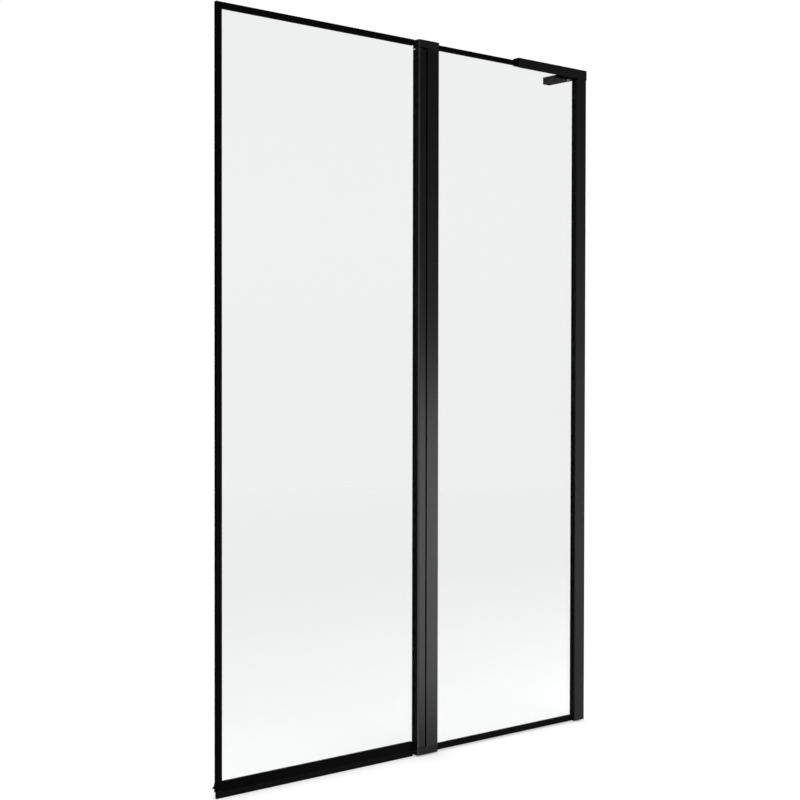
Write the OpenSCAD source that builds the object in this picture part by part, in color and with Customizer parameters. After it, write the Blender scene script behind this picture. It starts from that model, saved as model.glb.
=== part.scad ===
/* [Screen] */
// Height from the rim of the bath to the top of the door
screen_h = 1397; // [1200:1:1700]
// Reach of the door from the pivot to its free edge
door_reach = 474; // [350:1:800]
// Reach of the fixed panel from the pivot to the wall
fixed_reach = 473; // [420:1:900]
// Gap between the rim of the bath and the frame of the door
door_lift = 9.8; // [8:0.1:11]

/* [Glass] */
// Thickness of the toughened glass
glass_t = 4; // [3:0.1:5]
// Distance of the middle of the glass behind the middle of the hinge
glass_offset = 3.5; // [2.5:0.1:4]
// Thickness of the glazing gasket on each face of the glass
gasket_t = 0.3; // [0.2:0.05:0.5]
// Room between an edge of the glass and the bottom of its pocket
edge_gap = 0.5; // [0.3:0.1:1]

/* [Frame] */
// Wall of the slim frame profiles
frame_wall = 1; // [0.8:0.1:1.3]
// Depth of the glazing pocket in the frame profiles
pocket_depth = 5; // [4:0.1:5.5]
// Height of the top rail of the door
door_top_rail_h = 10.9; // [10:0.1:16]
// Height of the bottom rail of the door
door_bottom_rail_h = 16.6; // [15:0.1:22]
// Width of the stile at the free edge of the door
outer_stile_w = 11.5; // [10:0.1:18]
// Height of the top rail of the fixed panel
fixed_top_rail_h = 9.2; // [9:0.1:14]
// Distance of the top of the fixed top rail below the top of the door
fixed_top_drop = 1.7; // [1.5:0.1:2.5]
// Height of the bottom rail of the fixed panel
fixed_bottom_rail_h = 11.8; // [10.5:0.1:13.5]
// Length of a corner key inside its rail
key_l = 20; // [12:1:30]
// Play of a corner key in its chamber, on each side
key_gap = 0.1; // [0.05:0.01:0.2]
// Thickness of the plastic plates that close the ends of the door profiles
plug_t = 1; // [0.8:0.1:1.5]
// Length of the tongue that holds such a plate in its profile
plug_l = 8; // [5:0.5:12]

/* [Hinge] */
// Depth of the hinge profiles, front to back
hinge_d = 21; // [20:0.1:23]
// Reach of the round side of the barrel past the pivot, at its front face
nose_w = 8; // [7.8:0.1:9]
// Reach of the barrel from the pivot to its glazed side
barrel_w = 10.3; // [9.8:0.1:10.5]
// Chamfer on the two corners at the glazed side of the barrel
barrel_chamfer = 2.5; // [2.3:0.1:3]
// Wall of the barrel
barrel_wall = 1.6; // [1.2:0.1:1.8]
// Running gap between the barrel and the concave channel of the post
channel_gap = 2.3; // [1.5:0.1:3]
// Width of the post from the edge of its channel to its glazed side
post_w = 30; // [28:0.5:40]
// Wall of the post
post_wall = 1.8; // [1.4:0.1:2.1]
// Depth of the glazing pocket of the post
post_pocket = 8; // [6:0.1:8.5]
// Height of the end caps of the hinge
cap_h = 15; // [14:0.5:20]
// Gap between the barrel and the top cap
top_gap = 3; // [2:0.1:4]
// Gap between the barrel and the bottom cap
bottom_gap = 0.8; // [0.6:0.1:1.5]
// Clearance between the circle of the barrel and the door profiles that pass the caps
swing_gap = 0.4; // [0.3:0.1:0.8]
// Radius of the pivot pins
pin_r = 3; // [2.5:0.1:3.2]
// Depth of a pivot pin in its cap
pin_seat = 12; // [8:0.5:12.5]
// Depth of a pivot pin in the barrel
pin_reach = 20; // [15:1:30]
// Wall of the pivot bushes
bush_wall = 1.05; // [0.9:0.05:1.2]
// Length of a pivot bush inside the barrel
bush_l = 18; // [12:1:25]
// Radius of the collar of a pivot bush
collar_r = 5.9; // [5.2:0.1:6.4]
// Radial play of a turning pin in its bush
running_play = 0.05; // [0.03:0.01:0.08]
// Gap between the collars and the caps
thrust_gap = 0.3; // [0.2:0.05:0.4]

/* [Wall profile] */
// Width of the wall profile
wall_profile_w = 30; // [28:0.5:40]
// Wall of the wall profile
wall_profile_t = 1.2; // [1:0.1:1.5]
// Depth of the glazing pocket of the wall profile
wall_pocket = 8; // [6:0.1:9]
// Thickness of the plastic cap on the wall profile
stile_cap_t = 1.2; // [1:0.1:1.4]
// Room between that pocket and the wall channel, for adjusting to the wall
adjust_room = 1.8; // [1:0.1:6]
// Wall of the channel that is screwed to the wall
channel_t = 1.5; // [1.2:0.1:2]
// Radius of the fixing holes in that channel
wall_hole_r = 2.4; // [2:0.1:2.6]
// Distance of the outer fixing holes from its ends
wall_hole_inset = 98.5; // [60:0.5:150]
// Distance of the channel from the rim, and from the plug above it
channel_inset = 2; // [1:0.5:5]

/* [Brace] */
// Length of the bar along the screen, from the wall
brace_len = 207; // [120:1:300]
// Height of the front flange of the bar
brace_front_h = 20.1; // [17:0.1:26]
// Height of the back flange of the bar
brace_back_h = 15.1; // [13.5:0.1:17]
// Thickness of the roof of the bar
brace_roof = 2.7; // [2:0.1:4]
// Thickness of the flanges of the bar
brace_flange = 1.4; // [1.2:0.1:2]
// Width of the leg that runs along the wall
leg_w = 20; // [18:0.5:26]
// Distance of the end of the leg from the middle of the screen
leg_reach = 102; // [90:1:160]
// Wall of the leg
leg_wall = 2; // [1.5:0.1:2.5]
// Length of the tongue of the bar inside the leg
tongue_l = 28; // [20:1:35]
// Radius of the wall screw holes in the leg
leg_hole_r = 2.4; // [2:0.1:2.6]

/* [Drip seal] */
// Distance that the wiping seal reaches below the frame of the door
seal_drop = 12.2; // [11.2:0.1:13]
// Thickness of the carrier plate under the door
carrier_t = 1; // [0.8:0.1:1.2]
// Thickness of the upstand of the carrier behind the bottom rail
upstand_t = 1.3; // [1:0.1:1.6]
// Height of that upstand above the underside of the rail
upstand_h = 15.2; // [13:0.1:16]
// Reach of the drip lip behind the upstand
lip_reach = 7.1; // [5:0.1:7.4]
// Distance of the drip lip below the top of the upstand
lip_inset = 4.2; // [3:0.1:5]
// Fall of the drip lip
lip_fall = 7.2; // [5:0.1:8]
// Thickness of the drip lip, measured down the upstand
lip_t = 1.8; // [1.2:0.1:2.2]
// Radius of the round beads along the wiping seal
bead_r = 1.5; // [1.2:0.1:1.6]

/* [Fixings] */
// Shank radius of the screws that hold the caps
cap_screw_r = 1.9; // [1.6:0.1:2]
// Length of those screws
cap_screw_l = 32; // [26:1:40]
// Number of adjusting screws along the wall profile
adjuster_count = 3; // [2:1:5]
// Shank radius of the adjusting screws
adjuster_r = 1.6; // [1.4:0.1:1.8]
// Head radius of the adjusting screws
adjuster_head_r = 3.2; // [2.8:0.1:3.4]
// Head height of the adjusting screws
adjuster_head_h = 1.8; // [1.4:0.1:2]
// Radius of the covers over the adjusting screws
cover_r = 5.5; // [5:0.1:6]
// Radius of the grub screws in the bar
grub_r = 2; // [1.5:0.1:2.2]
// Shank radius of the screw that locks the bar in the leg
lock_r = 2; // [1.8:0.1:2.3]
// Head radius of that screw
lock_head_r = 3.6; // [3.2:0.1:4]
// Play of a screw or pin in a hole that it does not grip
hole_play = 0.3; // [0.2:0.05:0.4]
// Play of a seated piece in its seat
seat_play = 0.02; // [0.01:0.01:0.04]

/* [Hidden] */
$fn = 48;

// overrun of every cut
over = 0.5;

// the slim frame, front to back
pocket_w = glass_t + 2 * gasket_t;
frame_d = pocket_w + 2 * frame_wall;
frame_front = glass_offset - frame_d / 2;
frame_back = glass_offset + frame_d / 2;
pocket_front = glass_offset - pocket_w / 2;
pocket_back = glass_offset + pocket_w / 2;
glass_front = glass_offset - glass_t / 2;
glass_back = glass_offset + glass_t / 2;

// the hinge
half_d = hinge_d / 2;
barrel_r = sqrt(nose_w * nose_w + half_d * half_d);
channel_r = barrel_r + channel_gap;
post_x0 = sqrt(channel_r * channel_r - half_d * half_d);
post_x1 = post_x0 + post_w;
cap_top = screen_h;
post_z0 = cap_h;
post_z1 = cap_top - cap_h;
barrel_z0 = cap_h + bottom_gap;
barrel_z1 = post_z1 - top_gap;
bush_r = pin_r + running_play + bush_wall;
// the glass reaches into the barrel as far as the wall round the bush allows
barrel_pocket_x = -(bush_r + bush_wall);
door_end_x = -(barrel_r + swing_gap);
// share of a chamfer that is lost when the outline moves in by a wall
chamfer_share = 2 - sqrt(2);

// the wall profile
wall_x = fixed_reach;
stile_x0 = wall_x - wall_profile_w;
stile_half = frame_back;
stile_z1 = screen_h - stile_cap_t;
stile_pocket_x = stile_x0 + wall_pocket;
stile_inner = stile_half - wall_profile_t;
channel_half = stile_inner - hole_play;
channel_x0 = stile_pocket_x + wall_profile_t + adjust_room;
stile_plug_l = 8;
channel_z0 = channel_inset;
channel_z1 = stile_z1 - stile_plug_l - channel_inset;
channel_web_x = wall_x - channel_t;
wall_hole_z0 = wall_hole_inset;
wall_hole_pitch = (screen_h - 2 * wall_hole_inset) / 3;
adjuster_x = (stile_pocket_x + wall_profile_t + channel_web_x) / 2;
adjuster_z0 = wall_hole_z0 + wall_hole_pitch / 2;
adjuster_pitch = 2 * wall_hole_pitch / (adjuster_count - 1);
cover_t = 1;

// the frame of the fixed panel
fixed_top = screen_h - fixed_top_drop;
fixed_top_z0 = fixed_top - fixed_top_rail_h;
fixed_glass_x0 = post_x1 - post_pocket + edge_gap;
fixed_glass_x1 = stile_pocket_x - edge_gap;
fixed_glass_z0 = fixed_bottom_rail_h - pocket_depth + edge_gap;
fixed_glass_z1 = fixed_top_z0 + pocket_depth - edge_gap;
fixed_key_seat = 6;

// the frame of the door
door_x0 = -door_reach;
stile_in_x = door_x0 + outer_stile_w;
door_top_z0 = screen_h - door_top_rail_h;
door_bottom_z1 = door_lift + door_bottom_rail_h;
rail_x1 = door_end_x - plug_t;
door_glass_x0 = stile_in_x - pocket_depth + edge_gap;
door_glass_x1 = barrel_pocket_x - edge_gap;
door_glass_z0 = door_bottom_z1 - pocket_depth + edge_gap;
door_glass_z1 = door_top_z0 + pocket_depth - edge_gap;
door_glass_notch_x = door_end_x - edge_gap;
door_key_seat = pocket_depth - edge_gap;

// the groove under the bottom rail that holds the carrier of the seal
groove_lip = 1.2;
groove_h = 2.4;
groove_neck_w = 1.6;
groove_head_w = 3.6;
groove_play = 0.2;
groove_top = groove_lip + groove_h;

// screw ports and plugs of the hinge post
port_r = cap_screw_r + seat_play;
port_boss = 1.6;
port_y = half_d - post_wall - port_r - port_boss / 2;
port_inset = 5;
port_x = channel_r + post_wall + port_r + port_boss + port_inset;
slot_neck_w = 1.6;
slot_neck_d = 1.5;
slot_head_w = 4;
slot_head_d = 2;
slot_x1 = channel_r + slot_neck_d + slot_head_d;
spigot_l = 10;
spigot_x0 = slot_x1 + post_wall + hole_play;
spigot_x1 = post_x1 - post_pocket - post_wall - hole_play;
spigot_half = port_y - port_r - port_boss - hole_play;
countersink_r = 2 * cap_screw_r;
countersink_h = countersink_r - cap_screw_r;
head_recess = 0.5;

// the brace
brace_play = 0.2;
brace_in = frame_back + brace_play;
brace_out = brace_in + brace_flange;
brace_x0 = wall_x - brace_len;
brace_top = screen_h + brace_roof;
leg_x0 = wall_x - leg_w;
leg_z0 = brace_top - brace_back_h;
leg_z = (leg_z0 + brace_top) / 2;
tongue_gap = hole_play;
leg_boss_r = 6;
leg_boss_gap = 7.6;
leg_end_gap = 4;
counterbore_r = 4.6;
counterbore_d = 12;
leg_hole_y0 = brace_out + tongue_l + leg_boss_r + leg_boss_gap;
leg_hole_y1 = leg_reach - leg_wall - leg_boss_r - leg_end_gap;
lock_y = brace_out + 0.56 * tongue_l;
lock_head_h = 1.8;
grub_z = fixed_top_z0 + fixed_top_rail_h / 2;
grub_inset = 30;

// the seal under the door
carrier_z0 = door_lift - carrier_t;
carrier_front = frame_front + 0.4 * frame_wall;
upstand_back = frame_back + upstand_t;
tongue_t = 0.8;
tongue_h = 5.8;
seal_z0 = door_lift - seal_drop;
seal_w = 4.7;
seal_core_w = 3.3;
seal_mid = frame_front + seal_w / 2;
bead_z1 = carrier_z0 - 1.8 * bead_r;
bead_z0 = bead_z1 - 2.6 * bead_r;
lip_w = 1.2;

module rect(x0, y0, x1, y1) {
    translate([x0, y0]) square([x1 - x0, y1 - y0]);
}

module block(x0, x1, y0, y1, z0, z1) {
    translate([x0, y0, z0]) cube([x1 - x0, y1 - y0, z1 - z0]);
}

// a profile drawn in Y and Z, run along X
module run_x(x0, x1) {
    translate([x0, 0, 0]) rotate([90, 0, 90]) linear_extrude(x1 - x0) children();
}

// a profile drawn in X and Z, run along Y
module run_y(y0, y1) {
    translate([0, y1, 0]) rotate([90, 0, 0]) linear_extrude(y1 - y0) children();
}

// a profile drawn in X and Y, run along Z
module run_z(z0, z1) {
    translate([0, 0, z0]) linear_extrude(z1 - z0) children();
}

// round bar along an axis
module rod_x(x0, x1, y, z, r) {
    translate([x0, y, z]) rotate([0, 90, 0]) cylinder(h = x1 - x0, r = r);
}

module rod_y(y0, y1, x, z, r) {
    translate([x, y0, z]) rotate([-90, 0, 0]) cylinder(h = y1 - y0, r = r);
}

module rod_z(z0, z1, x, y, r) {
    translate([x, y, z0]) cylinder(h = z1 - z0, r = r);
}

// frame profile of height h: glazing pocket at the top, key chamber below it,
// and under that the room that some profiles keep at their foot
module frame_section(h, foot = 0) {
    difference() {
        rect(frame_front, 0, frame_back, h);
        rect(pocket_front, h - pocket_depth, pocket_back, h + over);
        rect(pocket_front, foot + frame_wall, pocket_back, h - pocket_depth - frame_wall);
    }
}

// the same profile with its pocket facing down, its outer face at the height top
module frame_section_down(h, top) {
    translate([0, top]) mirror([0, 1]) frame_section(h);
}

// straight key from a rail's chamber into its neighbour
module corner_key(x0, x1, z0, z1) {
    block(x0, x1, pocket_front + key_gap, pocket_back - key_gap, z0 + key_gap, z1 - key_gap);
}

// outline of the barrel, moved in by a wall
module barrel_outline(inset = 0) {
    l = barrel_w - inset;
    d = half_d - inset;
    c = barrel_chamfer - chamfer_share * inset;
    intersection() {
        circle(r = barrel_r - inset, $fn = 96);
        polygon([
            [-l, -(d - c)], [-(l - c), -d], [barrel_r, -d], [barrel_r, d], [-(l - c), d], [-l, d - c]
        ]);
    }
}

// barrel profile: bush bore, glazing pocket, and a hollow nose with two ribs
module barrel_section() {
    difference() {
        barrel_outline();
        circle(r = bush_r + seat_play);
        rect(-barrel_w - over, pocket_front, barrel_pocket_x, pocket_back);
        difference() {
            barrel_outline(barrel_wall);
            circle(r = bush_r + barrel_wall);
            rect(-barrel_w, pocket_front - barrel_wall, 0, half_d);
            rect(-barrel_wall / 2, -half_d, barrel_wall / 2, half_d);
        }
    }
}

// outline of the post: a rectangle with the concave channel for the barrel
module post_outline(inset = 0) {
    difference() {
        rect(0, -half_d + inset, post_x1 - inset, half_d - inset);
        circle(r = channel_r + inset, $fn = 96);
    }
}

// post profile: screw ports, glazing pocket and the slot for the gap seal
module post_section() {
    difference() {
        post_outline();
        difference() {
            post_outline(post_wall);
            rect(post_x1 - post_pocket - post_wall, pocket_front - post_wall, post_x1, half_d);
            rect(channel_r, -slot_head_w / 2 - post_wall, slot_x1 + post_wall, slot_head_w / 2 + post_wall);
            for (s = [-1, 1]) translate([port_x, s * port_y]) circle(r = port_r + port_boss);
        }
        rect(post_x1 - post_pocket, pocket_front, post_x1 + over, pocket_back);
        rect(channel_r - over, -slot_neck_w / 2, slot_x1, slot_neck_w / 2);
        rect(channel_r + slot_neck_d, -slot_head_w / 2, slot_x1, slot_head_w / 2);
        for (s = [-1, 1]) translate([port_x, s * port_y]) circle(r = port_r);
    }
}

// outline of a cap: it covers the barrel, the groove and the post
module cap_outline() {
    l = barrel_w;
    c = barrel_chamfer;
    polygon([
        [-l, -(half_d - c)], [-(l - c), -half_d], [post_x1, -half_d], [post_x1, half_d],
        [-(l - c), half_d], [-l, half_d - c]
    ]);
}

// cap with its pin seat, screw holes, key socket and the notch for the corner
// of the glass, drawn for the bottom; out is the height of its outer face
module cap_body(key_z0, key_z1, glass_z) {
    difference() {
        union() {
            run_z(0, cap_h) cap_outline();
            block(spigot_x0, spigot_x1, -spigot_half, spigot_half, cap_h, cap_h + spigot_l);
        }
        rod_z(cap_h - pin_seat, cap_h + over, 0, 0, pin_r + seat_play);
        for (s = [-1, 1]) {
            rod_z(-over, cap_h + over, port_x, s * port_y, cap_screw_r + hole_play);
            rod_z(-over, head_recess, port_x, s * port_y, countersink_r + hole_play);
            translate([port_x, s * port_y, head_recess])
                cylinder(h = countersink_h, r1 = countersink_r + hole_play, r2 = cap_screw_r + hole_play);
        }
        block(post_x1 - fixed_key_seat - edge_gap, post_x1 + over, pocket_front, pocket_back, key_z0, key_z1);
        block(post_x1 - post_pocket, post_x1 + over, pocket_front, pocket_back, glass_z, cap_h + over);
    }
}

// turns a piece drawn at the bottom of the hinge over to its top
module at_top() {
    translate([0, 0, cap_top]) mirror([0, 0, 1]) children();
}

// countersunk screw from the outer face of a cap into a port of the post
module cap_screw() {
    union() {
        rod_z(head_recess, cap_screw_l, 0, 0, cap_screw_r);
        translate([0, 0, head_recess]) cylinder(h = countersink_h, r1 = countersink_r, r2 = cap_screw_r);
    }
}

// flat ring of gasket in X and Z round an opening of the frame
module gasket_pair() {
    run_y(pocket_front, glass_front) children();
    run_y(glass_back, pocket_back) children();
}

module door_glass_outline() {
    difference() {
        rect(door_glass_x0, door_glass_z0, door_glass_x1, door_glass_z1);
        rect(door_glass_notch_x, barrel_z1, door_glass_x1 + over, door_glass_z1 + over);
    }
}

module wall_channel() color("dimgray") {
    difference() {
        run_z(channel_z0, channel_z1) difference() {
            rect(channel_x0, -channel_half, wall_x, channel_half);
            rect(channel_x0 - over, -channel_half + channel_t, channel_web_x, channel_half - channel_t);
        }
        for (i = [0:3])
            rod_x(channel_web_x - over, wall_x + over, 0, wall_hole_z0 + i * wall_hole_pitch, wall_hole_r);
        for (i = [0:adjuster_count - 1])
            rod_y(0, channel_half + over, adjuster_x, adjuster_z0 + i * adjuster_pitch, adjuster_r + seat_play);
    }
}

module wall_stile() color("darkslategray") {
    difference() {
        run_z(0, stile_z1) difference() {
            rect(stile_x0, -stile_half, wall_x, stile_half);
            difference() {
                rect(stile_x0 + wall_profile_t, -stile_inner, wall_x + over, stile_inner);
                rect(stile_x0, frame_front, stile_pocket_x + wall_profile_t, stile_half);
            }
            rect(stile_x0 - over, pocket_front, stile_pocket_x, pocket_back);
        }
        for (i = [0:adjuster_count - 1])
            rod_y(0, stile_half + over, adjuster_x, adjuster_z0 + i * adjuster_pitch, adjuster_r + hole_play);
    }
}

module wall_stile_cap() color("black") {
    union() {
        block(stile_x0, wall_x, -stile_half, stile_half, stile_z1, screen_h);
        block(
            stile_pocket_x + wall_profile_t + hole_play, wall_x - channel_t,
            -channel_half, channel_half, stile_z1 - stile_plug_l, stile_z1
        );
    }
}

module adjusting_screws() color("silver") {
    for (i = [0:adjuster_count - 1]) union() {
        z = adjuster_z0 + i * adjuster_pitch;
        rod_y(channel_half - 2 * channel_t, stile_half, adjuster_x, z, adjuster_r);
        rod_y(stile_half, stile_half + adjuster_head_h, adjuster_x, z, adjuster_head_r);
    }
}

module screw_covers() color("black") {
    inner_r = adjuster_head_r + hole_play;
    inner_h = adjuster_head_h + hole_play;
    for (i = [0:adjuster_count - 1])
        translate([adjuster_x, stile_half, adjuster_z0 + i * adjuster_pitch]) rotate([-90, 0, 0])
            rotate_extrude() polygon([
                [inner_r, 0], [cover_r, 0], [cover_r, inner_h], [cover_r - cover_t, inner_h + cover_t],
                [0, inner_h + cover_t], [0, inner_h], [inner_r, inner_h]
            ]);
}

module fixed_top_rail() color("darkslategray") {
    run_x(post_x1, stile_x0) frame_section_down(fixed_top_rail_h, fixed_top);
}

module fixed_bottom_rail() color("darkslategray") {
    run_x(post_x1, stile_x0) frame_section(fixed_bottom_rail_h);
}

module fixed_glass() color("lightcyan", 0.4) {
    run_y(glass_front, glass_back) rect(fixed_glass_x0, fixed_glass_z0, fixed_glass_x1, fixed_glass_z1);
}

module fixed_gaskets() color("black") {
    gasket_pair() difference() {
        rect(fixed_glass_x0, fixed_glass_z0, fixed_glass_x1, fixed_glass_z1);
        rect(post_x1, fixed_bottom_rail_h, stile_x0, fixed_top_z0);
    }
}

module fixed_corner_keys() color("gray") {
    top_z0 = fixed_top_z0 + pocket_depth + frame_wall;
    bottom_z1 = fixed_bottom_rail_h - pocket_depth - frame_wall;
    for (x = [[post_x1 - fixed_key_seat, post_x1 + key_l], [stile_x0 - key_l, stile_x0 + fixed_key_seat]]) {
        corner_key(x[0], x[1], frame_wall, bottom_z1);
        corner_key(x[0], x[1], top_z0, fixed_top - frame_wall);
    }
}

module hinge_post() color("darkslategray") {
    run_z(post_z0, post_z1) post_section();
}

module bottom_cap() color("black") {
    cap_body(frame_wall, fixed_bottom_rail_h - pocket_depth - frame_wall, fixed_bottom_rail_h - pocket_depth);
}

module top_cap() color("black") {
    depth = fixed_top_drop + fixed_top_rail_h - pocket_depth;
    at_top() cap_body(fixed_top_drop + frame_wall, depth - frame_wall, depth);
}

module cap_screws() color("silver") {
    for (s = [-1, 1]) {
        translate([port_x, s * port_y, 0]) cap_screw();
        at_top() translate([port_x, s * port_y, 0]) cap_screw();
    }
}

module pivot_pins() color("silver") {
    rod_z(cap_h - pin_seat, barrel_z0 + pin_reach, 0, 0, pin_r);
    rod_z(barrel_z1 - pin_reach, post_z1 + pin_seat, 0, 0, pin_r);
}

module hinge_gap_seal() color("black") {
    neck = slot_neck_w / 2 - groove_play / 2;
    run_z(post_z0, post_z1) union() {
        rect(barrel_r + thrust_gap + neck, -neck, channel_r + slot_neck_d + over, neck);
        translate([barrel_r + thrust_gap + neck, 0]) circle(r = neck);
        rect(channel_r + slot_neck_d, -slot_head_w / 2 + groove_play, slot_x1 - groove_play, slot_head_w / 2 - groove_play);
    }
}

module brace_bar() color("darkslategray") {
    difference() {
        union() {
            run_x(brace_x0, wall_x) difference() {
                rect(-brace_out, brace_top - brace_front_h, brace_out, brace_top);
                rect(-brace_in, 0, brace_in, screen_h);
                rect(0, 0, brace_out + over, brace_top - brace_back_h);
            }
            block(
                leg_x0 + leg_wall + tongue_gap, wall_x - leg_wall - tongue_gap, brace_out,
                brace_out + tongue_l, leg_z0 + tongue_gap, brace_top - leg_wall - tongue_gap
            );
        }
        for (x = [brace_x0 + grub_inset, stile_x0 - grub_inset])
            rod_y(brace_in - over, brace_out + over, x, grub_z, grub_r + seat_play);
        rod_x(leg_x0, leg_x0 + leg_w / 2, lock_y, leg_z, lock_r + seat_play);
    }
}

module brace_leg() color("darkslategray") {
    difference() {
        union() {
            run_y(brace_out, leg_reach - leg_wall) difference() {
                rect(leg_x0, leg_z0, wall_x, brace_top);
                rect(leg_x0 + leg_wall, leg_z0 - over, wall_x - leg_wall, brace_top - leg_wall);
            }
            block(leg_x0, wall_x, leg_reach - leg_wall, leg_reach, leg_z0, brace_top);
            for (y = [leg_hole_y0, leg_hole_y1]) rod_x(leg_x0 + over, wall_x - over, y, leg_z, leg_boss_r);
        }
        for (y = [leg_hole_y0, leg_hole_y1]) {
            rod_x(leg_x0 - over, wall_x + over, y, leg_z, leg_hole_r);
            rod_x(leg_x0 - over, leg_x0 + counterbore_d, y, leg_z, counterbore_r);
        }
        rod_x(leg_x0 - over, leg_x0 + leg_wall + over, lock_y, leg_z, lock_r + hole_play);
    }
}

module brace_lock_screw() color("silver") {
    union() {
        rod_x(leg_x0, leg_x0 + leg_w / 2 - hole_play, lock_y, leg_z, lock_r);
        translate([leg_x0, lock_y, leg_z]) rotate([0, -90, 0])
            cylinder(h = lock_head_h, r1 = lock_head_r, r2 = lock_head_r - lock_head_h / 2);
    }
}

module brace_grub_screws() color("silver") {
    for (x = [brace_x0 + grub_inset, stile_x0 - grub_inset])
        rod_y(frame_back, brace_out, x, grub_z, grub_r);
}

module hinge_barrel() color("darkslategray") {
    run_z(barrel_z0, barrel_z1) barrel_section();
}

module bush(collar_h) {
    difference() {
        union() {
            rod_z(0, bush_l, 0, 0, bush_r);
            rod_z(-collar_h, 0, 0, 0, collar_r);
        }
        rod_z(-collar_h - over, bush_l + over, 0, 0, pin_r + running_play);
    }
}

module pivot_bushes() color("whitesmoke") {
    translate([0, 0, barrel_z0]) bush(bottom_gap - thrust_gap);
    translate([0, 0, barrel_z1]) mirror([0, 0, 1]) bush(top_gap - thrust_gap);
}

module outer_stile() color("darkslategray") {
    run_z(door_lift + plug_t, screen_h - plug_t) difference() {
        rect(door_x0, frame_front, stile_in_x, frame_back);
        rect(stile_in_x - pocket_depth, pocket_front, stile_in_x + over, pocket_back);
        rect(door_x0 + frame_wall, pocket_front, stile_in_x - pocket_depth - frame_wall, pocket_back);
    }
}

// plate and tongue that close one end of the stile
module stile_end_cap(plate_z, tongue_z) {
    union() {
        block(door_x0, stile_in_x, frame_front, frame_back, plate_z, plate_z + plug_t);
        block(
            door_x0 + frame_wall + key_gap, stile_in_x - pocket_depth - frame_wall - key_gap,
            pocket_front + key_gap, pocket_back - key_gap, tongue_z, tongue_z + plug_l
        );
    }
}

module stile_end_caps() color("black") {
    stile_end_cap(door_lift, door_lift + plug_t);
    stile_end_cap(screen_h - plug_t, screen_h - plug_t - plug_l);
}

module door_top_rail() color("darkslategray") {
    run_x(stile_in_x, rail_x1) frame_section_down(door_top_rail_h, screen_h);
}

module door_bottom_rail() color("darkslategray") {
    run_x(stile_in_x, rail_x1) translate([0, door_lift]) difference() {
        frame_section(door_bottom_rail_h, groove_top);
        rect(glass_offset - groove_neck_w / 2, -over, glass_offset + groove_neck_w / 2, groove_top);
        rect(glass_offset - groove_head_w / 2, groove_lip, glass_offset + groove_head_w / 2, groove_top);
    }
}

module rail_end_plugs() color("black") {
    key_z0 = door_lift + groove_top + frame_wall;
    key_z1 = door_bottom_z1 - pocket_depth - frame_wall;
    top_z0 = door_top_z0 + pocket_depth + frame_wall;
    union() {
        block(rail_x1, door_end_x, frame_front, frame_back, door_lift, key_z1 + frame_wall);
        corner_key(rail_x1 - plug_l, rail_x1, key_z0, key_z1);
    }
    union() {
        block(rail_x1, door_end_x, frame_front, frame_back, top_z0 - frame_wall, screen_h);
        corner_key(rail_x1 - plug_l, rail_x1, top_z0, screen_h - frame_wall);
    }
}

module door_glass() color("lightcyan", 0.4) {
    run_y(glass_front, glass_back) door_glass_outline();
}

module door_gaskets() color("black") {
    gasket_pair() difference() {
        door_glass_outline();
        rect(stile_in_x, door_bottom_z1, -barrel_w, door_top_z0);
    }
}

module door_corner_keys() color("gray") {
    corner_key(stile_in_x - door_key_seat, stile_in_x + key_l, door_lift + groove_top + frame_wall,
        door_bottom_z1 - pocket_depth - frame_wall);
    corner_key(stile_in_x - door_key_seat, stile_in_x + key_l, door_top_z0 + pocket_depth + frame_wall,
        screen_h - frame_wall);
}

module seal_carrier() color("black") {
    root_z = door_lift + upstand_h - lip_inset;
    neck = groove_neck_w / 2 - groove_play;
    head = groove_head_w / 2 - groove_play;
    union() {
        run_x(door_x0, door_end_x) union() {
            rect(carrier_front, carrier_z0, upstand_back, door_lift);
            rect(frame_back, carrier_z0, upstand_back, door_lift + upstand_h);
            rect(seal_mid - tongue_t / 2, carrier_z0 - tongue_h, seal_mid + tongue_t / 2, carrier_z0);
            polygon([
                [upstand_back, root_z], [upstand_back + lip_reach, root_z - lip_fall],
                [upstand_back + lip_reach - lip_t / 2, root_z - lip_fall - lip_t / 2],
                [upstand_back, root_z - lip_t]
            ]);
        }
        run_x(stile_in_x + seat_play, rail_x1) union() {
            rect(glass_offset - neck, door_lift, glass_offset + neck, door_lift + groove_lip + groove_play);
            rect(glass_offset - head, door_lift + groove_lip + groove_play,
                glass_offset + head, door_lift + groove_top - groove_play);
        }
    }
}

module rim_seal() color("black") {
    core = seal_core_w / 2;
    run_x(door_x0, door_end_x) difference() {
        union() {
            polygon([
                [seal_mid - core, carrier_z0], [seal_mid - core, bead_z0], [seal_mid - lip_w / 2, seal_z0],
                [seal_mid + lip_w / 2, seal_z0], [seal_mid + core, bead_z0], [seal_mid + core, carrier_z0]
            ]);
            for (z = [bead_z0, bead_z1], s = [-1, 1])
                translate([seal_mid + s * (seal_w / 2 - bead_r), z]) circle(r = bead_r);
        }
        rect(seal_mid - tongue_t / 2, carrier_z0 - tongue_h, seal_mid + tongue_t / 2, carrier_z0 + over);
    }
}

wall_channel();
wall_stile();
wall_stile_cap();
adjusting_screws();
screw_covers();
fixed_top_rail();
fixed_bottom_rail();
fixed_glass();
fixed_gaskets();
fixed_corner_keys();
hinge_post();
top_cap();
bottom_cap();
cap_screws();
pivot_pins();
hinge_gap_seal();
brace_bar();
brace_leg();
brace_lock_screw();
brace_grub_screws();
hinge_barrel();
pivot_bushes();
outer_stile();
stile_end_caps();
door_top_rail();
door_bottom_rail();
rail_end_plugs();
door_glass();
door_gaskets();
door_corner_keys();
seal_carrier();
rim_seal();
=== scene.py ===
import math

import bmesh
import bpy
from mathutils import Matrix, Vector


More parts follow.
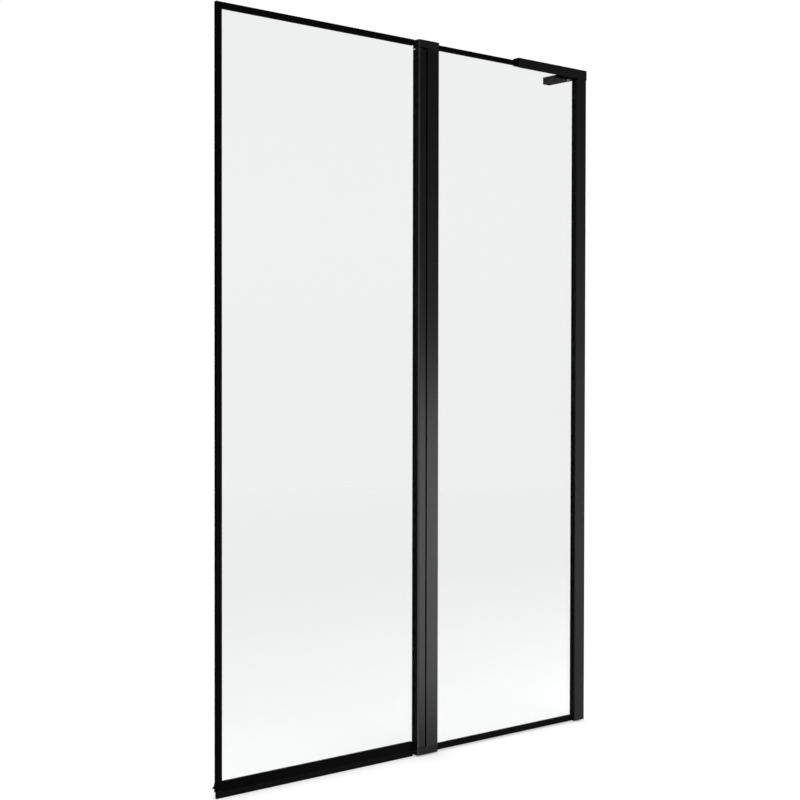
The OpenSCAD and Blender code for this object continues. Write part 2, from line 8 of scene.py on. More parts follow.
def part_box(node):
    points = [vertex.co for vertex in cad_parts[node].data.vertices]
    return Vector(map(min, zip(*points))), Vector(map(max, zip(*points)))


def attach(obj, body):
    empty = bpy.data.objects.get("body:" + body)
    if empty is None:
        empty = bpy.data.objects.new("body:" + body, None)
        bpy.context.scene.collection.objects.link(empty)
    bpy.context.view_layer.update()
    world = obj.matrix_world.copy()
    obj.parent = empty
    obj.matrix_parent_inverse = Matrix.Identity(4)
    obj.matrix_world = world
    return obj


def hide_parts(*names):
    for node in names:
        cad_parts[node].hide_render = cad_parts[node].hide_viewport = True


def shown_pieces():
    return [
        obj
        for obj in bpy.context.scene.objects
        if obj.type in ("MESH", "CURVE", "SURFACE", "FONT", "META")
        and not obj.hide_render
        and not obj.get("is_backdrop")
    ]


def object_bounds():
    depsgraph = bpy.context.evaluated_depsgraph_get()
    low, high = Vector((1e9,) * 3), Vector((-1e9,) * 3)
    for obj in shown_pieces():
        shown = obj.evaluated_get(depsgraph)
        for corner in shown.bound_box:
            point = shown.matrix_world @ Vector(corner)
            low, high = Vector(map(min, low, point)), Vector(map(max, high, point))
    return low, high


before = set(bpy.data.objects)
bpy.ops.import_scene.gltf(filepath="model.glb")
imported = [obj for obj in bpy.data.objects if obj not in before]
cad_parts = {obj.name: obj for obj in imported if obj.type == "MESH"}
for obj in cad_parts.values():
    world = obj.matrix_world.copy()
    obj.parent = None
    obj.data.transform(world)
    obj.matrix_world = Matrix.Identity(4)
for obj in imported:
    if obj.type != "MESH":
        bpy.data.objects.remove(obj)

bl_info = {
    "name": "Framed bath screen",
    "version": (1, 0, 0),
    "blender": (4, 5, 0),
    "location": "3D View > Sidebar > Bath screen",
    "description": "Dresses a framed bath screen with a fixed panel and a pivot door",
    "category": "Add Mesh",
}

FIXED = "fixed_screen"
DOOR = "door"
MM = 0.001
X = 0
Z = 2
# Points nearer than this are one point
LEAST = 1e-6
# Directions are alike from these cosines up, and edges are sharp from this angle up, in degrees
ALIKE = 0.99
ALONG = 0.98
SHARP = 28.0
# Faces that turn less than this are one flat face, and shading breaks at these angles, in degrees
FLAT = 0.3
CREASE = 32.0
SOFT_CREASE = 40.0
LIP_CREASE = 50.0
# Glazing gaskets: how far the lip stands in front of its pocket, and how near it comes to the pane
LIP_FRONT = 0.75 * MM
PANE_GAP = 0.015 * MM
# The seal on the notch of the door's pane: how far the notch stands back from the end of the door,
# then the seal's walls, its two legs, its gap over the barrel and its rounding
NOTCH_BACK = 0.5 * MM
NOTCH_FRONT = 0.6 * MM
NOTCH_SIDE = 0.8 * MM
NOTCH_DEPTH = 2.1 * MM
NOTCH_LEG = 1.6 * MM
NOTCH_GAP = 0.05 * MM
NOTCH_ROUND = 0.15 * MM
# Screws: the rim and the ends of those in the caps, and the chamfers of a grub screw
CAP_RIM = 0.3 * MM
CAP_ENDS = (18.0 * MM, 18.5 * MM)
GRUB_CHAMFER = 0.15 * MM
GRUB_POINT = 0.3 * MM
# Radii as shares of the head's or the shank's
CAP_SHANK = 0.5
CAP_TIP = 0.75
STUD_ROOT = 0.86
STUD_TIP = 0.80
BUTTON_SHANK = 0.6
BUTTON_UNDER = 0.97
# Where the straight side of the button, and of a cover, starts and ends, as shares of its rise
BUTTON_SIDE = (0.05, 0.15)
COVER_SIDE = (0.0, 0.35)
# Sockets: radius as a share of the shank's, and depth. The button's are shares of its head
CAP_SOCKET = (0.72, 1.6 * MM)
STUD_SOCKET = (0.52, 1.5 * MM)
GRUB_SOCKET = (0.55, 1.0 * MM)
BUTTON_SOCKET = (0.37, 0.65)
# Domes: (share of the radius, share of the rise)
BUTTON_DOME = ((0.99, 0.28), (0.93, 0.50), (0.80, 0.72), (0.62, 0.90), (0.46, 1.0))
COVER_DOME = ((0.96, 0.58), (0.86, 0.78), (0.70, 0.90), (0.45, 0.97), (0.20, 1.0))
# The set screw under the brace leg: its size, its thread and its place from the leg's corner
STUD_RADIUS = 2.5 * MM
STUD_RISE = 5.2 * MM
STUD_REACH = 2.0 * MM
STUD_START = 0.1 * MM
STUD_PITCH = 0.8 * MM
STUD_PLACE = (2.7 * MM, 20.2 * MM)
# Room between a cover and the screw head inside it
COVER_ROOM = 0.3 * MM
# The brace's edges are rounder than those of the other extrusions
BRACE_ROUNDER = 1.5


# Sizes and colours that a user would change


class ExtrusionSettings(bpy.types.PropertyGroup):
    satin: bpy.props.FloatVectorProperty(
        name="Satin black",
        description="Colour of the post, the wall profile and the brace",
        default=(0.0014, 0.0014, 0.0015),
        size=3, min=0.0, max=1.0, subtype="COLOR",
    )
    matt: bpy.props.FloatVectorProperty(
        name="Matt black",
        description="Colour of the slim rails and the outer stile",
        default=(0.0012, 0.0012, 0.0013),
        size=3, min=0.0, max=1.0, subtype="COLOR",
    )
    satin_roughness: bpy.props.FloatProperty(
        name="Satin roughness",
        description="Mean roughness of the satin extrusions",
        default=0.31, min=0.05, max=1.0, subtype="FACTOR",
    )
    matt_roughness: bpy.props.FloatProperty(
        name="Matt roughness",
        description="Mean roughness of the slim rails",
        default=0.42, min=0.05, max=1.0, subtype="FACTOR",
    )
    edge_radius: bpy.props.FloatProperty(
        name="Edge radius",
        description="Radius along the edges of the extrusions",
        default=0.0003, min=0.00005, max=0.002, subtype="DISTANCE", unit="LENGTH",
    )
    grain_size: bpy.props.FloatProperty(
        name="Grain size",
        description="Size of the grain in the coating",
        default=0.0006, min=0.0001, max=0.01, subtype="DISTANCE", unit="LENGTH",
    )


class MouldingSettings(bpy.types.PropertyGroup):
    colour: bpy.props.FloatVectorProperty(
        name="Moulding colour",
        description="Colour of the caps, plugs and covers",
        default=(0.0060, 0.0060, 0.0062),
        size=3, min=0.0, max=1.0, subtype="COLOR",
    )
    edge_radius: bpy.props.FloatProperty(
        name="Moulding edge radius",
        description="Radius along the edges of the moulded caps",
        default=0.0006, min=0.00005, max=0.003, subtype="DISTANCE", unit="LENGTH",
    )


class GlassSettings(bpy.types.PropertyGroup):
    tint: bpy.props.FloatVectorProperty(
        name="Glass tint",
        description="What the pane lets through",
        default=(0.913, 0.929, 0.921),
        size=3, min=0.0, max=1.0, subtype="COLOR",
    )
    arris: bpy.props.FloatProperty(
        name="Ground edge",
        description="Width of the ground edge of a pane",
        default=0.0006, min=0.0001, max=0.002, subtype="DISTANCE", unit="LENGTH",
    )


class SealSettings(bpy.types.PropertyGroup):
    colour: bpy.props.FloatVectorProperty(
        name="Seal colour",
        description="Colour of the gaskets and the seals",
        default=(0.0040, 0.0040, 0.0042),
        size=3, min=0.0, max=1.0, subtype="COLOR",
    )
    lip: bpy.props.FloatProperty(
        name="Gasket lip",
        description="How far a glazing gasket shows beside its pocket",
        default=0.0006, min=0.0001, max=0.003, subtype="DISTANCE", unit="LENGTH",
    )


class StudioSettings(bpy.types.PropertyGroup):
    place: bpy.props.FloatVectorProperty(
        name="Camera place",
        description="Where the camera stands",
        default=(-1.9456, -2.1938, 0.7434),
        size=3, subtype="TRANSLATION", unit="LENGTH",
    )
    yaw: bpy.props.FloatProperty(
        name="Yaw",
        description="How far the camera looks from +Y towards +X",
        default=math.radians(40.84), subtype="ANGLE", unit="ROTATION",
    )
    pitch: bpy.props.FloatProperty(
        name="Pitch",
        description="How far the camera looks down",
        default=math.radians(0.93), subtype="ANGLE", unit="ROTATION",
    )
    roll: bpy.props.FloatProperty(
        name="Roll",
        description="How far the camera leans",
        default=math.radians(-0.095), subtype="ANGLE", unit="ROTATION",
    )
    focal: bpy.props.FloatProperty(
        name="Focal length",
        description="Focal length in pixels of an image 800 wide",
        default=1497.7, min=100.0,
    )
    floor: bpy.props.FloatVectorProperty(
        name="Floor colour",
        description="Colour of the pale floor",
        default=(0.86, 0.86, 0.86),
        size=3, min=0.0, max=1.0, subtype="COLOR",
    )


# Small helpers for modelling


def sizes(node):
    """Lowest and highest corner of a CAD node at rest."""
    low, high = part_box(node)
    return Vector(low), Vector(high)


def only(piece):
    """Selects this piece alone and makes it active."""
    bpy.ops.object.select_all(action="DESELECT")
    piece.select_set(True)
    bpy.context.view_layer.objects.active = piece


def settle(piece):
    """Puts the piece's place into its mesh, so that its object is at the origin."""
    only(piece)
    bpy.ops.object.transform_apply()


def merged_copy(node, name):
    """A merged copy of a CAD node's mesh, with its flat faces joined up."""
    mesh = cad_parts[node].data.copy()
    mesh.name = name
    piece = bpy.data.objects.new(name, mesh)
    bpy.context.scene.collection.objects.link(piece)
    only(piece)
    edit_all()
    bpy.ops.mesh.remove_doubles(threshold=LEAST)
    bpy.ops.mesh.dissolve_limited(angle_limit=math.radians(FLAT))
    bpy.ops.object.mode_set(mode="OBJECT")
    return piece


def bevel_selected(radius, steps):
    """Rounds the selected edges."""
    bpy.ops.mesh.bevel(offset=radius, segments=steps, affect="EDGES", clamp_overlap=True)


def edit_all():
    """Enters edit mode with everything selected."""
    bpy.ops.object.mode_set(mode="EDIT")
    bpy.ops.mesh.select_all(action="SELECT")


def pull(*shift):
    """Extrudes the selected faces and moves them."""
    bpy.ops.mesh.extrude_region_move(TRANSFORM_OT_translate={"value": shift})


def turn_outward():
    """Turns every face of the piece outward, and leaves edit mode."""
    bpy.ops.mesh.select_all(action="SELECT")
    bpy.ops.mesh.normals_make_consistent()
    bpy.ops.object.mode_set(mode="OBJECT")


def pick(piece, kind, test):
    """In edit mode, selects faces by their middle and direction, and edges by their turn too."""
    bpy.ops.mesh.select_mode(type=kind)
    bpy.ops.mesh.select_all(action="DESELECT")
    shape = bmesh.from_edit_mesh(piece.data)
    if kind == "FACE":
        for face in shape.faces:
            if test(face.calc_center_median(), face.normal):
                face.select = True
    else:
        for edge in shape.edges:
            first, second = [vertex.co for vertex in edge.verts]
            run = (second - first).normalized()
            if test((first + second) / 2.0, run, edge.calc_face_angle(0.0)):
                edge.select = True
    bmesh.update_edit_mesh(piece.data)


def round_edges(piece, radius, along=None, steps=2):
    """Rounds the sharp edges of a piece, all of them or only those along one axis."""
    only(piece)
    bpy.ops.object.mode_set(mode="EDIT")
    pick(
        piece,
        "EDGE",
        lambda middle, run, turn: turn >= math.radians(SHARP)
        and (along is None or abs(run[along]) >= ALONG),
    )
    bevel_selected(radius, steps)
    bpy.ops.object.mode_set(mode="OBJECT")
    smooth(piece)
    return piece


def started(name):
    """The primitive that was just added, named, with its place in its mesh."""
    piece = bpy.context.active_object
    piece.name = name
    piece.data.name = name
    settle(piece)
    return piece


def grown(name, radius, low, high, upper, lower, sides=48):
    """A round piece on Z: a cylinder whose ends grow through (radius, height) steps."""
    bpy.ops.mesh.primitive_cylinder_add(
        vertices=sides, radius=radius, depth=high - low, location=(0.0, 0.0, (low + high) / 2.0)
    )
    piece = started(name)
    bpy.ops.object.mode_set(mode="EDIT")
    for way, start, steps in ((1.0, high, upper), (-1.0, low, lower)):
        pick(piece, "FACE", lambda middle, out: out.z * way > ALIKE and abs(middle.z - start) < LEAST)
        width, level = radius, start
        for next_width, next_level in steps:
            pull(0.0, 0.0, next_level - level)
            share = next_width / width
            bpy.ops.transform.resize(value=(share, share, 1.0), center_override=(0.0, 0.0, 0.0))
            width, level = next_width, next_level
    turn_outward()
    return piece


def hex_socket(piece, level, shank, share, depth):
    """Cuts a hexagonal socket, a share of the shank wide, down into the top of a piece on Z."""
    bpy.ops.mesh.primitive_cylinder_add(
        vertices=6, radius=share * shank, depth=2.0 * depth, location=(0.0, 0.0, level)
    )
    cutter = started("socket_cutter")
    only(piece)
    bpy.ops.object.modifier_add(type="BOOLEAN")
    cut = piece.modifiers[-1]
    cut.operation = "DIFFERENCE"
    cut.solver = "EXACT"
    cut.object = cutter
    bpy.ops.object.modifier_apply(modifier=cut.name)
    bpy.data.objects.remove(cutter)
    return piece


def copied(piece):
    """A copy of a piece with its own mesh."""
    copy = piece.copy()
    copy.data = piece.data.copy()
    bpy.context.scene.collection.objects.link(copy)
    return copy


def placed(piece, centre, axis):
    """Turns a piece from Z to an axis and moves it to its place, in its mesh."""
    piece.rotation_mode = "QUATERNION"
    piece.rotation_quaternion = Vector(axis).to_track_quat("Z", "Y")
    piece.location = centre
    settle(piece)
    return piece


def spread(name, piece, places):
    """A piece copied to each (centre, axis) place, all of them as one piece."""
    copies = [placed(copied(piece), centre, axis) for centre, axis in places]
    bpy.data.objects.remove(piece)
    return joined(name, copies)


def bar(name, low, high):
    """A plain bar between two corners, to be shaped further."""
    bpy.ops.mesh.primitive_cube_add(
        size=1.0, location=(Vector(low) + Vector(high)) / 2.0, scale=Vector(high) - Vector(low)
    )
    return started(name)


def lipped_strip(name, low, high, across, mouth, way, front):
    """A gasket strip: a bar that stands forward past its pocket's mouth, with a round edge."""
    strip = bar(name, low, high)
    wall = low[1]
    tip = high[across] if way > 0.0 else low[across]
    along = 2 - across
    normal = [float(axis == across) for axis in range(3)]
    point = [mouth * part for part in normal]
    edit_all()
    bpy.ops.mesh.bisect(plane_co=point, plane_no=normal)
    pick(strip, "FACE", lambda middle, out: out.y < -ALIKE and (middle[across] - mouth) * way > 0.0)
    pull(0.0, front - wall, 0.0)
    pick(
        strip,
        "EDGE",
        lambda middle, run, turn: abs(run[along]) > ALIKE
        and abs(middle.y - front) < LEAST
        and abs(middle[across] - tip) < LEAST,
    )
    bevel_selected(0.8 * abs(tip - mouth), 4)
    turn_outward()
    return strip


def flipped_in_y(piece, middle):
    """A mirrored copy of a piece on the other side of a plane across Y."""
    copy = copied(piece)
    copy.scale = (1.0, -1.0, 1.0)
    copy.location = (0.0, 2.0 * middle, 0.0)
    settle(copy)
    bpy.ops.object.mode_set(mode="EDIT")
    turn_outward()
    return copy


def joined(name, pieces):
    """Several meshes as one piece."""
    bpy.ops.object.select_all(action="DESELECT")
    for piece in pieces:
        piece.select_set(True)
    bpy.context.view_layer.objects.active = pieces[0]
    bpy.ops.object.join()
    whole = bpy.context.active_object
    whole.name = name
    whole.data.name = name
    return whole


def smooth(piece, angle=CREASE):
    """Smooth shading, with the sharp edges kept and the flat faces left flat."""
    only(piece)
    bpy.ops.object.shade_smooth_by_angle(angle=math.radians(angle))
    bpy.ops.object.modifier_add(type="WEIGHTED_NORMAL")
    weighted = piece.modifiers[-1]
    weighted.keep_sharp = True
    weighted.weight = 80
    bpy.ops.object.modifier_apply(modifier=weighted.name)


def finish_piece(piece, body, finish, slot, *nodes):
    """Gives a piece its finish and its body, and hides the CAD nodes it stands for."""
    piece.data.materials.clear()
    piece.data.materials.append(finish_named(finish))
    if nodes:
        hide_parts(*nodes)
    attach(piece, body)


def shaped(node, name, radius, body, finish, slot, along=None, steps=2):
    """A CAD node's solid with its edges rounded, finished and in the node's place."""
    piece = round_edges(merged_copy(node, name), radius, along, steps)
    finish_piece(piece, body, finish, slot, node)


def dress(node, finish):
    """Gives a CAD node that stays its finish."""
    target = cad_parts[node]
    material = finish_named(finish)
    if not target.material_slots:
        target.data.materials.append(material)
    for place in target.material_slots:
        place.material = material


# Materials

# How noise is stretched: not at all, and as the draw lines of an upright and of a level extrusion
EVEN = (1.0, 1.0, 1.0)
UPRIGHT = (1.0, 1.0, 0.002)
LEVEL = (0.002, 1.0, 1.0)
# How strongly the satin and the matt coating mirror, and how their roughness varies
SATIN_GLOSS = 0.5
MATT_GLOSS = 0.08
LINE_SPREAD = 0.01
GRAIN_SPREAD = 0.02
# The coating's patches: how far they vary its colour, scale and detail. Its relief: depth and
# strength. Then the strength in the other finishes
COAT_VARY = 0.12
COAT_PATCHES = (9.0, 2.0)
COAT_RELIEF = (0.02 * MM, 0.25)
RELIEF = 0.3
# A moulding's spark texture, a seal's bloom, a screw's turning marks, bare and plated, and draw
# lines. Patches have a scale and a detail, and marks a stretch before those
SPARK = dict(
    vary=0.10, patches=(30.0, 2.0), marks=(EVEN, 2200.0, 4.0),
    rough=(0.33, 0.43), depth=0.03 * MM, level=0.36, metal=0.0,
)
BLOOM = dict(
    vary=0.3, patches=(60.0, 4.0), marks=((0.02, 1.0, 1.0), 1500.0, 2.0),
    rough=(0.50, 0.62), depth=0.03 * MM, level=0.12, metal=0.0,
)
TURNED = dict(
    vary=0.05, patches=(300.0, 2.0), marks=((1.0, 0.05, 1.0), 4000.0, 2.0),
    rough=(0.22, 0.34), depth=0.004 * MM, level=0.5, metal=1.0,
)
PLATED = dict(TURNED, rough=(0.38, 0.50), metal=0.4)
DRAWN = dict(
    vary=0.06, patches=(40.0, 3.0), marks=((1.0, 1.0, 0.01), 2500.0, 2.0),
    rough=(0.28, 0.42), depth=0.01 * MM, level=0.5, metal=1.0,
)
# The usual span of a noise value
NOISE_LOW = 0.3
NOISE_HIGH = 0.7
WHITE = (1.0, 1.0, 1.0, 1.0)
# What clear glass mirrors head on, and how steeply that rises towards a glancing angle
HEAD_ON = 0.04
GLANCE = 5.0


def new_material(name):
    """A node material with its shader and its nodes at hand."""
    material = bpy.data.materials.new(name)
    material.use_nodes = True
    tree = material.node_tree
    return material, tree, tree.nodes["Principled BSDF"]


def feed(node, inputs):
    """Gives a node's inputs their values, or links them to sockets."""
    for name, value in inputs.items():
        if isinstance(value, bpy.types.NodeSocket):
            node.id_data.links.new(value, node.inputs[name])
        else:
            node.inputs[name].default_value = value


def add_node(tree, kind, inputs=None, **values):
    """Adds a node, sets its plain settings and feeds its inputs."""
    node = tree.nodes.new(kind)
    for key, value in values.items():
        setattr(node, key, value)
    feed(node, inputs or {})
    return node


def maths(tree, operation, *values):
    """What a Math node makes of sockets or numbers."""
    inputs = dict(enumerate(values))
    return add_node(tree, "ShaderNodeMath", inputs, operation=operation).outputs[0]


def mixed(tree, share, first, second):
    """A mix of the shaders of two nodes."""
    inputs = {"Fac": share, 1: first.outputs[0], 2: second.outputs[0]}
    return add_node(tree, "ShaderNodeMixShader", inputs)


def ramp(tree, source, stops, low, high, between="LINEAR"):
    """A grey ramp through (place, level) stops, whose places lie in a range."""
    node = add_node(tree, "ShaderNodeValToRGB", {"Fac": source})
    node.color_ramp.interpolation = between
    marks = node.color_ramp.elements
    while len(marks) > 1:
        marks.remove(marks[-1])
    stops = [((place - low) / (high - low), level) for place, level in stops]
    marks[0].position = stops[0][0]
    for number, (place, level) in enumerate(stops):
        mark = marks.new(place) if number else marks[0]
        mark.color = (level, level, level, 1.0)
    return node.outputs["Color"]


def noise(tree, stretch, scale, detail):
    """Noise on Object coordinates, stretched along the axes."""
    place = add_node(tree, "ShaderNodeTexCoord").outputs["Object"]
    mapping = add_node(tree, "ShaderNodeMapping", {"Vector": place, "Scale": stretch})
    inputs = {"Vector": mapping.outputs["Vector"], "Scale": scale, "Detail": detail}
    return add_node(tree, "ShaderNodeTexNoise", inputs).outputs["Fac"]


def ranged(tree, source, low, high):
    """A noise value mapped from its usual span to a range."""
    span = {"From Min": NOISE_LOW, "From Max": NOISE_HIGH, "To Min": low, "To Max": high}
    return add_node(tree, "ShaderNodeMapRange", {"Value": source, **span}).outputs["Result"]


def tinted(tree, source, colour, vary):
    """A colour that varies a little about a mean."""
    mix = add_node(tree, "ShaderNodeMix", data_type="RGBA")
    inputs = {socket.identifier: socket for socket in mix.inputs}
    outputs = {socket.identifier: socket for socket in mix.outputs}
    inputs["A_Color"].default_value = (*[part * (1.0 - vary) for part in colour], 1.0)
    inputs["B_Color"].default_value = (*[part * (1.0 + vary) for part in colour], 1.0)
    tree.links.new(source, inputs["Factor_Float"])
    return outputs["Result_Color"]


def bumped(tree, source, depth, strength):
    """The direction of a surface with fine relief."""
    inputs = {"Distance": depth, "Strength": strength, "Height": source}
    return add_node(tree, "ShaderNodeBump", inputs).outputs["Normal"]


def coated(name, colour, roughness, level, stretch, settings):
    """Coated aluminium extrusion: fine grain, with faint draw lines along its length."""
    material, tree, shader = new_material(name)
    grain = noise(tree, EVEN, 1.0 / settings.grain_size, 3.0)
    lines = noise(tree, stretch, 1.0 / settings.grain_size, 2.0)
    patches = noise(tree, EVEN, *COAT_PATCHES)
    streaks = ranged(tree, lines, roughness - LINE_SPREAD, roughness + LINE_SPREAD)
    specks = ranged(tree, grain, -GRAIN_SPREAD, GRAIN_SPREAD)
    inputs = {
        "Base Color": tinted(tree, patches, colour, COAT_VARY),
        "Roughness": maths(tree, "ADD", streaks, specks),
        "Specular IOR Level": level,
        "Normal": bumped(tree, grain, *COAT_RELIEF),
    }
    feed(shader, inputs)
    return material


def marked(name, colour, look):
    """A finish with patches in its colour, and fine marks in its roughness and its relief."""
    material, tree, shader = new_material(name)
    fine = noise(tree, *look["marks"])
    patches = noise(tree, EVEN, *look["patches"])
    inputs = {
        "Base Color": tinted(tree, patches, colour, look["vary"]),
        "Roughness": ranged(tree, fine, *look["rough"]),
        "Specular IOR Level": look["level"],
        "Metallic": look["metal"],
        "Normal": bumped(tree, fine, look["depth"], RELIEF),
    }
    feed(shader, inputs)
    return material


def acetal(name, colour):
    """Slippery bearing plastic."""
    material, tree, shader = new_material(name)
    patches = noise(tree, EVEN, 200.0, 2.0)
    colour = tinted(tree, patches, colour, 0.06)
    feed(shader, {"Base Color": colour, "Roughness": ranged(tree, patches, 0.25, 0.35)})
    return material


def clear_glass(name, tint):
    """Clear pane: its faces mirror more at a glancing angle, and let the rest through."""
    material, tree, shader = new_material(name)
    tree.nodes.remove(shader)
    weight = add_node(tree, "ShaderNodeLayerWeight", {"Blend": 0.5})
    steep = maths(tree, "POWER", weight.outputs["Facing"], GLANCE)
    share = maths(tree, "ADD", maths(tree, "MULTIPLY", steep, 1.0 - HEAD_ON), HEAD_ON)
    face = (*[part ** 0.5 for part in tint], 1.0)
    through = add_node(tree, "ShaderNodeBsdfTransparent", {"Color": face})
    mirror = add_node(tree, "ShaderNodeBsdfGlossy", {"Color": WHITE, "Roughness": 0.0})
    mix = mixed(tree, share, through, mirror)
    feed(tree.nodes["Material Output"], {"Surface": mix.outputs[0]})
    return material


made = {}


def finish_named(name):
    """The finish of this name, made once and then used again."""
    if name not in made:
        scene = bpy.context.scene
        coats = scene.screen_extrusions
        satin = (list(coats.satin), coats.satin_roughness, SATIN_GLOSS)
        matt = (list(coats.matt), coats.matt_roughness, MATT_GLOSS)
        makers = {
            "satin_upright": (coated, *satin, UPRIGHT, coats),
            "satin_level": (coated, *satin, LEVEL, coats),
            "matt_upright": (coated, *matt, UPRIGHT, coats),
            "matt_level": (coated, *matt, LEVEL, coats),
            "moulding": (marked, list(scene.screen_mouldings.colour), SPARK),
            "soft_seal": (marked, list(scene.screen_seals.colour), BLOOM),
            "steel": (marked, (0.58, 0.57, 0.55), TURNED),
            "zinc_plated": (marked, (0.66, 0.66, 0.64), PLATED),
            "black_steel": (marked, (0.035, 0.035, 0.037), TURNED),
            "mill_aluminium": (marked, (0.70, 0.71, 0.72), DRAWN),
            "acetal": (acetal, (0.030, 0.030, 0.030)),
            "clear_glass": (clear_glass, list(scene.screen_glass.tint)),
        }
        maker, *values = makers[name]
        made[name] = maker(name, *values)
    return made[name]


# Operators, one for each piece or group of like pieces


class BATHSCREEN_OT_wall_profile(bpy.types.Operator):
    """Wall profile with its hidden channel and its top plug"""

    bl_idname = "bathscreen.wall_profile"
    bl_label = "Wall profile"

    def execute(self, context):
        radius = context.scene.screen_extrusions.edge_radius
        shaped("wall_stile", "wall_profile", radius, FIXED, "satin_upright", "frame", Z)
        shaped("wall_channel", "channel_on_wall", radius, FIXED, "mill_aluminium", "key_metal", Z)
        radius = context.scene.screen_mouldings.edge_radius
        shaped("wall_stile_cap", "wall_profile_plug", radius, FIXED, "moulding", "plastic")
        return {"FINISHED"}


class BATHSCREEN_OT_rails(bpy.types.Operator):
    """Slim rails of the fixed panel and the door"""

    bl_idname = "bathscreen.rails"
    bl_label = "Rails"

    def execute(self, context):
        radius = context.scene.screen_extrusions.edge_radius
        for panel, body in (("fixed", FIXED), ("door", DOOR)):
            for node in (panel + "_top_rail", panel + "_bottom_rail"):
                shaped(node, node + "_extrusion", radius, body, "matt_level", "frame", X)
        return {"FINISHED"}


class BATHSCREEN_OT_hinge_profiles(bpy.types.Operator):
    """Pivot post and the barrel that turns in it"""

    bl_idname = "bathscreen.hinge_profiles"
    bl_label = "Hinge profiles"

    def execute(self, context):
        radius = context.scene.screen_extrusions.edge_radius
        for node, body in (("hinge_post", FIXED), ("hinge_barrel", DOOR)):
            shaped(node, node + "_extrusion", radius, body, "satin_upright", "frame", Z)
        return {"FINISHED"}


class BATHSCREEN_OT_hinge_caps(bpy.types.Operator):
    """Moulded caps over and under the hinge"""

    bl_idname = "bathscreen.hinge_caps"
    bl_label = "Hinge caps"

    def execute(self, context):
        radius = context.scene.screen_mouldings.edge_radius
        for node in ("top_cap", "bottom_cap"):
            shaped(node, "hinge_" + node, radius, FIXED, "moulding", "plastic", steps=3)
        return {"FINISHED"}


class BATHSCREEN_OT_outer_stile(bpy.types.Operator):
    """Stile at the free edge of the door, with its end plates"""

    bl_idname = "bathscreen.outer_stile"
    bl_label = "Outer stile"

    def execute(self, context):
        radius = context.scene.screen_extrusions.edge_radius
        shaped("outer_stile", "outer_stile_extrusion", radius, DOOR, "matt_upright", "frame", Z)
        shaped("stile_end_caps", "stile_end_plates", radius, DOOR, "moulding", "plastic")
        shaped("rail_end_plugs", "rail_end_plates", radius, DOOR, "moulding", "plastic")
        return {"FINISHED"}


class BATHSCREEN_OT_panes(bpy.types.Operator):
    """Toughened panes with ground edges"""

    bl_idname = "bathscreen.panes"
    bl_label = "Panes"

    def execute(self, context):
        arris = context.scene.screen_glass.arris
        for node, body in (("fixed_glass", FIXED), ("door_glass", DOOR)):
            shaped(node, node + "_pane", arris, body, "clear_glass", "glass", steps=1)
        return {"FINISHED"}


class BATHSCREEN_OT_brace(bpy.types.Operator):
    """Brace bar over the top rail and the leg along the wall"""

    bl_idname = "bathscreen.brace"
    bl_label = "Brace"

    def execute(self, context):
        radius = BRACE_ROUNDER * context.scene.screen_extrusions.edge_radius
        for node in ("brace_bar", "brace_leg"):
            shaped(node, node + "_extrusion", radius, FIXED, "satin_level", "frame")
        return {"FINISHED"}


class BATHSCREEN_OT_drip_seal(bpy.types.Operator):
    """Carrier with its drip lip, and the soft seal that meets the bath rim"""

    bl_idname = "bathscreen.drip_seal"
    bl_label = "Drip seal"

    def execute(self, context):
        radius = context.scene.screen_extrusions.edge_radius
        shaped("seal_carrier", "drip_carrier", radius, DOOR, "matt_level", "frame", X)
        seal = merged_copy("rim_seal", "rim_bead_seal")
        smooth(seal, SOFT_CREASE)
        finish_piece(seal, DOOR, "soft_seal", "seal", "rim_seal")
        return {"FINISHED"}


